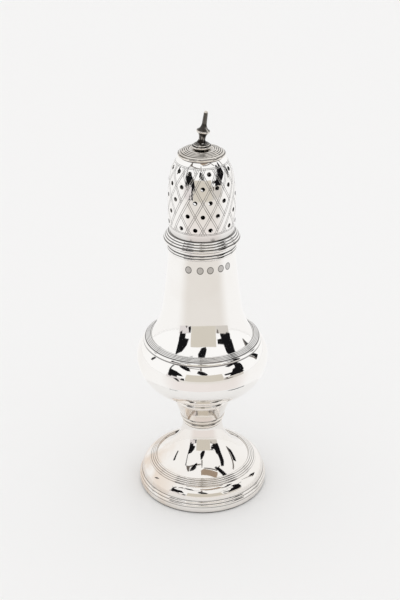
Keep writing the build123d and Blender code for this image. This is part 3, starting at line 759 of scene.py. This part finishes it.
def cover():
    """The cover: its sleeve, reeded rim, pierced dome, moulded cap and the finial's collar."""
    outside = MOUTH_RADIUS - SHEET - SLEEVE_CLEARANCE
    inside = outside - SLEEVE_SHEET
    sleeve = Section((inside, SLEEVE_BOTTOM)).line((outside, SLEEVE_BOTTOM)).line((outside, DOME_FOOT), 6)
    sleeve.line((inside, DOME_FOOT)).close()
    finish_piece(turned("cover_sleeve_tube", sleeve), "cover", body_silver, "cover_sleeve")

    edge = DOME_RADIUS + COVER_RIM_WIDTH
    rim = Section((outside, MOUTH)).line((edge, MOUTH))
    rim.reeds((edge, MOUTH + COVER_RIM_EDGE), 1, REED_RISE)
    rim.reeds((DOME_RADIUS + WIRE_BACK, COVER_RIM_TOP), COVER_RIM_REEDS, FINE_REED_RISE)
    rim.line((DOME_RADIUS, COVER_RIM_TOP)).line((DOME_RADIUS, DOME_FOOT)).line((outside, DOME_FOOT)).close()
    finish_piece(turned("cover_rim_reeds", rim), "cover", wire_silver, "cover_rim_wire")

    side = dome_section()
    shell = dome_section().line((PEG_HOLE_RADIUS, CROWN), 6)
    shell.wall(COVER_SHEET, floor=DOME_FOOT)
    dome = turned("cover_dome_pierced", shell)
    pierce(dome, side)
    map_lattice(dome, side)
    finish_piece(dome, "cover", engraved_silver, "cover_dome")

    cap_edge = Vector((CAP_RADIUS, CROWN + CAP_EDGE))
    band = cap_edge + Vector((-CAP_BAND[0], CAP_BAND[1]))
    brow = (band.x - CAP_REEDS_WIDTH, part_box("cover_cap")[1].z)
    cap = Section((PEG_HOLE_RADIUS, CROWN)).line((CAP_RADIUS, CROWN), 3)
    cap.reeds(cap_edge, 1, REED_RISE).line(band, 3).stain_and_shade(0.15, 3)
    cap.reeds(brow, CAP_REEDS, FINE_REED_RISE / 2, valley=DEEP_VALLEY)
    # Painted shade on the cap under the collar's disc
    cap.arc((PEDESTAL_RADIUS, COLLAR_SEAT), -FINE_REED_RISE, 8).stain_and_shade(0.4, 7).stain_and_shade(0.85, 3).stain_and_shade(1.0)
    cap.line((PEG_HOLE_RADIUS, COLLAR_SEAT)).close()
    finish_piece(turned("cover_cap_moulded", cap), "cover", browned_silver, "cover_cap")

    disc = COLLAR_SEAT + PEDESTAL_HEIGHT
    collar = Section((PEG_HOLE_RADIUS, COLLAR_SEAT)).line((PEDESTAL_RADIUS, COLLAR_SEAT))
    # Painted shade on the pedestal under the collar's disc
    collar.line((PEDESTAL_RADIUS, disc), 3).stain_and_shade(1.0, 4)
    collar.line((COLLAR_RADIUS, disc), 2).reeds((COLLAR_RADIUS, disc + COLLAR_DISC), 1, REED_RISE)
    collar.line((COLLAR_TOP_RADIUS, disc + COLLAR_DISC))
    collar.reeds((COLLAR_TOP_RADIUS, COLLAR_TOP - COLLAR_BROW[1]), 1, FINE_REED_RISE)
    collar.line((COLLAR_BROW[0], COLLAR_TOP), 3).stain_and_shade(0.8, 3)
    collar.line((PEG_HOLE_RADIUS, COLLAR_TOP), 2).stain_and_shade(1.0, 3).close()
    finish_piece(turned("finial_collar_discs", collar), "cover", browned_silver, "finial_collar")


def trim_below(piece, level, reach):
    """Cuts off everything of a small piece that lies below a level."""
    deselect()
    bpy.ops.mesh.primitive_cube_add(size=reach, location=(0, 0, level - reach / 2))
    block = bpy.context.active_object
    cut = piece.modifiers.new("trim", "BOOLEAN")
    cut.object = block
    cut.operation = "DIFFERENCE"
    cut.solver = "EXACT"
    make_active(piece)
    bpy.ops.object.modifier_apply(modifier=cut.name)
    bpy.data.objects.remove(block)


def finial():
    """The finial, an urn, a flange and a spire that lean a little, on an upright riveted peg."""
    urn_top = COLLAR_TOP + URN_HEIGHT
    flange_top = urn_top + FLANGE_HEIGHT
    tip = flange_top + SPIRE_HEIGHT
    urn = Section((0, COLLAR_TOP - URN_WAIST[1])).line((URN_FOOT_RADIUS, COLLAR_TOP - URN_WAIST[1]))
    urn.line((URN_FOOT_RADIUS, COLLAR_TOP)).line((URN_WAIST[0], COLLAR_TOP + URN_WAIST[1]), 4).stain_and_shade(1.0, 6)
    urn.arc((URN_RADIUS, urn_top), -URN_HOLLOW, 14).stain_and_shade(0.95, 14)
    urn.line((FLANGE_RADIUS, urn_top)).reeds((FLANGE_RADIUS, flange_top), 1, REED_RISE)
    urn.line((SPIRE_RADIUS, flange_top)).stain_and_shade(0.9)
    urn.arc((SPIRE_BEND[0], flange_top + SPIRE_BEND[1]), -SPIRE_HOLLOW, 12).stain_and_shade(0.95, 12)
    urn.line((SPIRE_TIP_RADIUS, tip - SPIRE_TIP_RADIUS), 8).stain_and_shade(0.85, 8).stain_and_shade(0.3)
    urn.sweep((0, tip), 10)
    spire = turned("finial_spire", urn, 72)
    make_active(spire)
    bpy.ops.object.mode_set(mode="EDIT")
    bpy.ops.mesh.select_all(action="SELECT")
    bpy.ops.transform.rotate(value=-FINIAL_LEAN, orient_axis="Y", center_override=(0, 0, COLLAR_TOP))
    bpy.ops.object.mode_set(mode="OBJECT")
    trim_below(spire, COLLAR_TOP, 4 * URN_FOOT_RADIUS)

    under = CROWN - COVER_SHEET
    peg = Section((0, COLLAR_TOP)).line((PEG_RADIUS, COLLAR_TOP)).line((PEG_RADIUS, under), 4)
    peg.line((RIVET_RADIUS, under)).sweep((0, under - RIVET_HEIGHT), 10)
    rivet = turned("finial_peg", peg, 72)
    make_active(spire)
    rivet.select_set(True)
    bpy.ops.object.join()
    finish_piece(spire, "cover", browned_silver, "finial")


# The studio: a white floor and a white surround, with cards that only reflections see.
# A far card is drawn by its corners as (azimuth, elevation) in degrees on a ball round the object, and
# a near one as (azimuth, height in millimetres) on one of two upright drums round it.
CARD_DISTANCE = 390 * MM
CARD_GAP = 0.5 * MM
CARD_CENTRE = Vector((0, 0, 75 * MM))
CARD_STEP = 6
SIDE_DRUM = 85 * MM
STEM_DRUM = 40 * MM
FLOOR_SIZE = 4.0
FLOOR_CARD = (65 * MM, 900 * MM, 0.5 * MM)
BLACK = (0.008, 0.008, 0.009, 1)
SMOKE = (0.16, 0.14, 0.125, 1)
BROWN = (0.37, 0.29, 0.22, 1)
BEIGE = (0.66, 0.62, 0.545, 1)
LEFT_BAND = (0.75, 0.715, 0.715, 1)
RIGHT_BAND = (0.646, 0.615, 0.573, 1)
FLOOR_WHITE = (0.915, 0.91, 0.905, 1)
SIDE_FLOOR = (0.965, 0.96, 0.955, 1)
FAR_FLOOR = (0.81, 0.78, 0.745, 1)
NEAR_FLOOR = (0.86, 0.81, 0.79, 1)

# The reflected floor's front: its middle, where it starts and stops fading to the sides, and where
# it goes over from near to far
FRONT_MIDDLE = math.radians(5)
FRONT_FADE = (math.radians(42), math.radians(80))
NEAR_TO_FAR = (150 * MM, 320 * MM)
CARDS = {
    "card_left": (BLACK, (-65, 46), (-62, 46), (-58, 27), (-46, 25), (-36, 17), (-32, 9), (-42, 8), (-57, 8),
                  (-60, 24)),
    "card_right": (BLACK, (69, 46), (77, 44), (79, 34), (75, 20), (73, 8), (50, 8), (37, 10), (37, 16),
                   (51, 16), (56, 26), (62, 28), (66, 36)),
    "card_above": (BLACK, (-8, 42), (-1, 40), (6, 33), (10, 24), (8, 20.5), (-2, 22), (-10, 30)),
    "card_above_stalk": (SMOKE, (-5, 56), (-2, 56), (0, 42), (-5, 42)),
    "card_gap_left": (BLACK, (-103, 27), (-98, 28), (-97, 14), (-101, 12)),
    "card_gap_right": (BLACK, (106, 26), (112, 26), (114, 8), (106, 4)),
    "card_line_right": (SMOKE, (101, 42), (104, 42), (106, 4), (103, 4)),
    "card_frame_left": (SMOKE, (-60, 58), (-55, 58), (-50, 51), (-6, 51), (-6, 48.5), (-52, 48.5),
                        (-62, 46)),
    "card_frame_right": (SMOKE, (6, 58), (58, 57), (66, 46), (63, 46), (55, 55), (6, 56)),
    "card_ceiling": (BROWN, (-8, 70), (70, 70), (62, 59), (4, 58.5), (-8, 61)),
    "card_ceiling_dark": (SMOKE, (44, 68), (62, 67), (60, 60), (44, 60)),
    "card_front": (BEIGE, (-27, 20), (-14, 21), (33, 20), (35, -8), (-28, -8)),
    "card_band_left": (LEFT_BAND, (-60, 2), (-31, 2), (-31, -8), (-60, -8)),
    "card_band_right": (RIGHT_BAND, (35, 2), (70, 2), (70, -8), (35, -8)),
    "card_bowl_far_left": (BLACK, (-58, 9), (-42, 9), (-41, -1), (-39, -8), (-44, -8), (-49, -3), (-57, 0)),
    "card_bowl_far_right": (BLACK, (45, 3), (48, 11), (70, 11), (72, 1), (57, 0), (51, -3)),
    "card_low_left": (BLACK, (-45, 1), (-29, 1), (-29, -8), (-36, -7), (-35, -1), (-45, -1)),
    "card_low_right": (SMOKE, (37, 2), (42, 2), (41, -3), (38, -3)),
}
NEAR_CARDS = {
    "card_bowl_left": (BLACK, SIDE_DRUM, (-43, 56), (-37, 57), (-34, 50), (-33, 42), (-35, 42), (-39, 49)),
    "card_bowl_right": (BLACK, SIDE_DRUM, (30, 57), (46, 57), (44, 55), (38, 53), (31, 55)),
    "card_dome_left": (BLACK, SIDE_DRUM, (-50, 160), (-37, 164), (-26, 146), (-20, 112), (-26, 112),
                       (-34, 121), (-44, 136)),
    "card_dome_right": (BLACK, SIDE_DRUM, (84, 200), (88, 196), (86, 146), (74, 134), (62, 124), (48, 122),
                        (44, 136), (56, 146), (74, 168)),
    "card_stem_left": (BLACK, STEM_DRUM, (-50, 29), (-37, 29), (-36, 28), (-50, 28)),
    "card_stem_right": (BLACK, STEM_DRUM, (36, 29), (66, 29), (66, 27), (38, 28)),
}


def glow(name, colour):
    """A plain light-giving surface for the studio; colour is a colour or draws one up."""
    recipe = Recipe(name)
    emission = recipe.node("ShaderNodeEmission")
    recipe.feed(colour(recipe) if callable(colour) else colour, emission.inputs["Color"])
    recipe.links.new(emission.outputs[0], recipe.nodes["Material Output"].inputs["Surface"])
    recipe.nodes.remove(recipe.shader)
    return recipe.material


def floor_shades(recipe):
    """The reflected floor, with painted shade: greyer in front of the object than at its sides, and more so
    far off.
    """
    x, y, _ = recipe.split_place()
    turn = recipe.math("ARCTAN2", x, recipe.math("MULTIPLY", y, -1.0))
    off = recipe.math("ABSOLUTE", recipe.math("SUBTRACT", turn, FRONT_MIDDLE))
    front = recipe.ramp(off, *FRONT_FADE, 1.0, 0.0)
    squares = recipe.math("ADD", recipe.math("MULTIPLY", x, x), recipe.math("MULTIPLY", y, y))
    ahead = recipe.mix(recipe.ramp(recipe.math("SQRT", squares), *NEAR_TO_FAR), NEAR_FLOOR, FAR_FLOOR)
    return recipe.mix(front, SIDE_FLOOR, ahead)


def toward(azimuth, elevation):
    """The way to an azimuth and elevation in degrees, seen from the object."""
    turn, lift = math.radians(azimuth), math.radians(elevation)
    return Vector((math.sin(turn) * math.cos(lift), -math.cos(turn) * math.cos(lift), math.sin(lift)))


def outline(corners):
    """The corners of a card with more between them, so that its edges follow the ball or the drum."""
    spots = []
    for here, there in zip(corners, corners[1:] + corners[:1]):
        run = Vector(there) - Vector(here)
        steps = math.ceil(abs(run.x) / CARD_STEP) or 1
        spots += [Vector(here) + run * (step / steps) for step in range(steps)]
    return spots


def reflected_only(piece, colour):
    """Makes a piece of the studio glow, seen in reflections only."""
    piece.data.materials.clear()
    piece.data.materials.append(glow(piece.name, colour))
    piece.visible_camera = False
    piece.visible_diffuse = False
    piece.visible_shadow = False
    piece.visible_transmission = False


def card(name, colour, spots):
    """A card through the given places."""
    deselect()
    bpy.ops.mesh.primitive_circle_add(vertices=len(spots), radius=MM, fill_type="NGON")
    piece = bpy.context.active_object
    piece.name = name
    for vertex, spot in zip(piece.data.vertices, spots):
        vertex.co = spot
    reflected_only(piece, colour)


def studio():
    """The floor, the surround and the cards."""
    deselect()
    bpy.ops.mesh.primitive_plane_add(size=FLOOR_SIZE)
    floor = bpy.context.active_object
    floor.name = "floor"
    recipe = Recipe("floor_white")
    recipe.shader.inputs["Metallic"].default_value = 0.0
    recipe.shader.inputs["Base Color"].default_value = FLOOR_WHITE
    recipe.shader.inputs["Roughness"].default_value = 0.7
    recipe.shader.inputs["Specular IOR Level"].default_value = 0.2
    floor.data.materials.append(recipe.material)

    world = bpy.data.worlds.new("surround")
    bpy.context.scene.world = world
    world.use_nodes = True
    world.node_tree.nodes["Background"].inputs["Color"].default_value = (1, 1, 1, 1)
    world.node_tree.nodes["Background"].inputs["Strength"].default_value = 1.0

    for count, (name, (colour, *corners)) in enumerate(CARDS.items()):
        distance = CARD_DISTANCE - count * CARD_GAP
        card(name, colour, [CARD_CENTRE + toward(*spot) * distance for spot in outline(corners)])
    for name, (colour, radius, *corners) in NEAR_CARDS.items():
        card(name, colour, [toward(turn, 0) * radius + Vector((0, 0, height * MM))
                            for turn, height in outline(corners)])
    near, far, level = FLOOR_CARD
    reflected_only(turned("card_floor", Section((near, level)).line((far, level), 8)), floor_shades)


# Camera: it looks down at the caster from the front
CAMERA_TILT = math.radians(27.54)
CAMERA_DISTANCE = 451.2 * MM
CAMERA_AIM = Vector((0, 0, 78.06 * MM))
CAMERA_ROLL = math.radians(-0.18)
CAMERA_LENS = 74.09
CAMERA_SHIFT = -2.08 / 600


def camera():
    """The camera at the photograph's place."""
    bpy.ops.object.camera_add()
    eye = bpy.context.active_object
    eye.name = "camera"
    back = Vector((0, -math.cos(CAMERA_TILT), math.sin(CAMERA_TILT)))
    turn = Matrix.Rotation(math.pi / 2 - CAMERA_TILT, 4, "X") @ Matrix.Rotation(CAMERA_ROLL, 4, "Z")
    eye.matrix_world = Matrix.Translation(CAMERA_AIM + back * CAMERA_DISTANCE) @ turn
    eye.data.lens = CAMERA_LENS
    eye.data.sensor_width = 36
    eye.data.shift_x = CAMERA_SHIFT
    eye.data.clip_start = 0.01
    bpy.context.scene.camera = eye


body_silver = silver("silver_polished")
neck_silver = silver("silver_punched", engraving=punches)
# The foot carries a painted warm reflection on its left side
foot_silver = silver("silver_foot", WORN, cloud=0.45, warm_reflection=(-0.022, -0.004, 0.6))
wire_silver = silver("silver_reeded", cloud=0.2)
dark_silver = silver("silver_tarnished", MELLOW, BROWNED, cloud=0.45, polish=0.1)
browned_silver = silver("silver_browned", MELLOW, BROWNED, cloud=0.75, polish=0.08, streaks=0.6)
engraved_silver = silver("silver_engraved", cloud=0.3, engraving=lattice)

foot()
stem()
vessel()
cover()
finial()
studio()
camera()
bpy.context.scene.view_settings.view_transform = "Standard"
